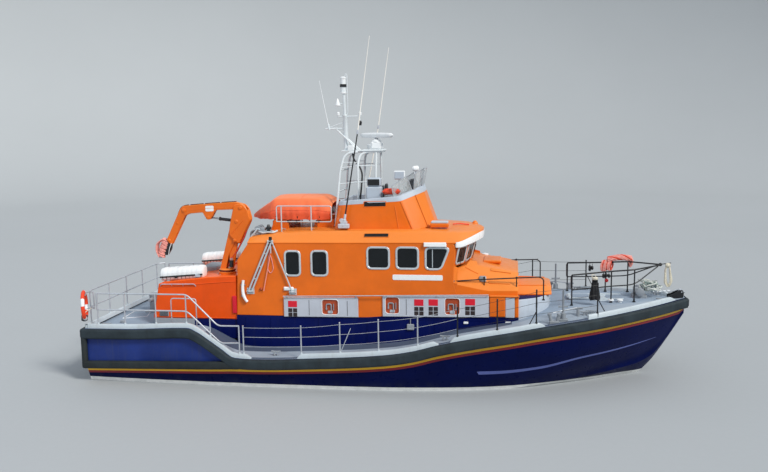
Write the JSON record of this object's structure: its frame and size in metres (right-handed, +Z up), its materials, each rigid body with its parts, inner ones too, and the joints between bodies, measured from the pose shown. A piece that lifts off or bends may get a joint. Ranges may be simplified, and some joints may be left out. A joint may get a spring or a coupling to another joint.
{
  "type": "all-weather lifeboat",
  "caption": "All-weather rescue boat with a hard-chine decked hull, rubber belting, raised wheelhouse, open upper steering position, mast, folding crane, rails and twin propellers.",
  "frame": {"origin": "centre line, amidships, at the waterline", "axes": "+X to the bow, +Y to port, +Z up"},
  "size_m": [17.18, 5.92, 11.421],
  "materials": {
    "navy_topside_paint": "gloss",
    "belting_rubber": "matt",
    "toe_rail_paint": "satin",
    "orange_paint": "gloss",
    "red_orange_paint": "gloss",
    "locker_grey": "satin",
    "rail_steel": "satin",
    "ram_steel": "polished",
    "black_paint": "satin",
    "bronze": "satin",
    "window_glass": "clear",
    "white_gloss": "gloss",
    "mast_paint": "satin",
    "cover_fabric": "woven, coated",
    "seat_vinyl": "satin",
    "antifouling": "matt"
  },
  "bodies": {
    "boat": {"hull": "navy_topside_paint", "rubber_belting": "belting_rubber", "toe_rail": "toe_rail_paint", "centre_skeg": "antifouling", "bilge_keel_port": "antifouling", "bilge_keel_starboard": "antifouling", "shaft_bracket_port": "bronze", "shaft_bracket_starboard": "bronze", "deckhouse_trunk": "navy_topside_paint", "coach_roof": "orange_paint", "wheelhouse_side_starboard": "orange_paint", "wheelhouse_side_port": "orange_paint", "side_glazing_starboard": "window_glass", "side_glazing_port": "window_glass", "wheelhouse_front": "white_gloss", "front_glazing": "window_glass", "wheelhouse_aft_bulkhead": "orange_paint", "wheelhouse_roof": "orange_paint", "wheelhouse_console": "black_paint", "crew_seats": "seat_vinyl", "aft_cabin": "red_orange_paint", "side_lockers_starboard": "locker_grey", "side_lockers_port": "locker_grey", "upper_steering_position": "orange_paint", "upper_console": "black_paint", "upper_seats": "seat_vinyl", "upper_windscreen": "window_glass", "mast_frame": "mast_paint", "whip_aerial_starboard": "white_gloss", "whip_aerial_port": "white_gloss", "crane_pedestal": "orange_paint", "liferaft_starboard": "white_gloss", "liferaft_port": "white_gloss", "covered_inflatable": "cover_fabric", "inflatable_cradle": "rail_steel", "guardrail_starboard": "rail_steel", "guardrail_port": "rail_steel", "quarter_rail_starboard": "rail_steel", "quarter_rail_port": "rail_steel", "stern_rail": "rail_steel", "bow_pulpit": "black_paint", "coach_handrail_starboard": "black_paint", "coach_handrail_port": "black_paint", "foredeck_hatch_coaming": "toe_rail_paint", "anchor_windlass": "rail_steel", "bow_fairlead": "black_paint", "towing_post": "rail_steel"},
    "propeller_port": {"propeller_port": "bronze"},
    "propeller_starboard": {"propeller_starboard": "bronze"},
    "rudder_port": {"rudder_port": "antifouling"},
    "rudder_starboard": {"rudder_starboard": "antifouling"},
    "radar_scanner": {"radar_scanner": "white_gloss"},
    "aft_cabin_door": {"aft_cabin_door": "red_orange_paint"},
    "foredeck_hatch": {"foredeck_hatch": "toe_rail_paint"},
    "recovery_frame_starboard": {"recovery_frame_starboard": "white_gloss"},
    "recovery_frame_port": {"recovery_frame_port": "white_gloss"},
    "crane_column": {"crane_column": "orange_paint"},
    "crane_boom": {"crane_boom": "orange_paint"},
    "crane_ram_barrel": {"crane_ram_barrel": "ram_steel"},
    "crane_ram_rod": {"crane_ram_rod": "ram_steel"}
  },
  "joints": [
    {"name": "propeller_port_spin", "type": "hinge", "parent": "boat", "child": "propeller_port", "pos_m": [-7.05, 1.25, -0.95], "axis": [0.9954, 0, 0.0958], "continuous": true},
    {"name": "propeller_starboard_spin", "type": "hinge", "parent": "boat", "child": "propeller_starboard", "pos_m": [-7.05, -1.25, -0.95], "axis": [0.9954, 0, 0.0958], "continuous": true},
    {"name": "rudder_port_steer", "type": "hinge", "parent": "boat", "child": "rudder_port", "pos_m": [-7.7, 1.25, -0.9], "axis": [0, 0, 1], "range_deg": [-35, 35]},
    {"name": "rudder_starboard_steer", "type": "hinge", "parent": "boat", "child": "rudder_starboard", "pos_m": [-7.7, -1.25, -0.9], "axis": [0, 0, 1], "range_deg": [-35, 35]},
    {"name": "radar_scanner_spin", "type": "hinge", "parent": "boat", "child": "radar_scanner", "pos_m": [-0.34, 0, 6.8], "axis": [0, 0, 1], "continuous": true},
    {"name": "aft_cabin_door_swing", "type": "hinge", "parent": "boat", "child": "aft_cabin_door", "pos_m": [-6.6933, 1.075, 2.171], "axis": [-0.1961, 0, -0.9806], "range_deg": [0, 110]},
    {"name": "foredeck_hatch_lift", "type": "hinge", "parent": "boat", "child": "foredeck_hatch", "pos_m": [5.195, 0, 2.205], "axis": [0, -1, 0], "range_deg": [0, 100]},
    {"name": "recovery_frame_starboard_fold", "type": "hinge", "parent": "boat", "child": "recovery_frame_starboard", "pos_m": [-3.14, -1.812, 2.56], "axis": [1, 0, 0], "range_deg": [0, 65]},
    {"name": "recovery_frame_port_fold", "type": "hinge", "parent": "boat", "child": "recovery_frame_port", "pos_m": [-3.14, 1.812, 2.56], "axis": [-1, 0, 0], "range_deg": [0, 65]},
    {"name": "crane_slew", "type": "hinge", "parent": "boat", "child": "crane_column", "pos_m": [-4.64, -1.15, 3.03], "axis": [0, 0, 1], "range_deg": [-90, 110]},
    {"name": "crane_boom_lift", "type": "hinge", "parent": "crane_column", "child": "crane_boom", "pos_m": [-4.13, -1.15, 4.9], "axis": [0, 1, 0], "range_deg": [0, 60]},
    {"name": "crane_ram_swing", "type": "hinge", "parent": "crane_column", "child": "crane_ram_barrel", "pos_m": [-4.27, -1.15, 4.5], "axis": [0, 1, 0], "range_deg": [0, 56]},
    {"name": "crane_ram_stroke", "type": "slide", "parent": "crane_ram_barrel", "child": "crane_ram_rod", "axis": [-0.9933, 0, 0.1155], "range_m": [0, 0.43]}
  ],
  "couplings": [
    {"joint": "rudder_port_steer", "follows": "rudder_starboard_steer", "ratio": 1},
    {"joint": "crane_ram_swing", "follows": "crane_boom_lift", "ratio": 0.93},
    {"joint": "crane_ram_stroke", "follows": "crane_boom_lift", "m_per_rad": 0.405}
  ]
}
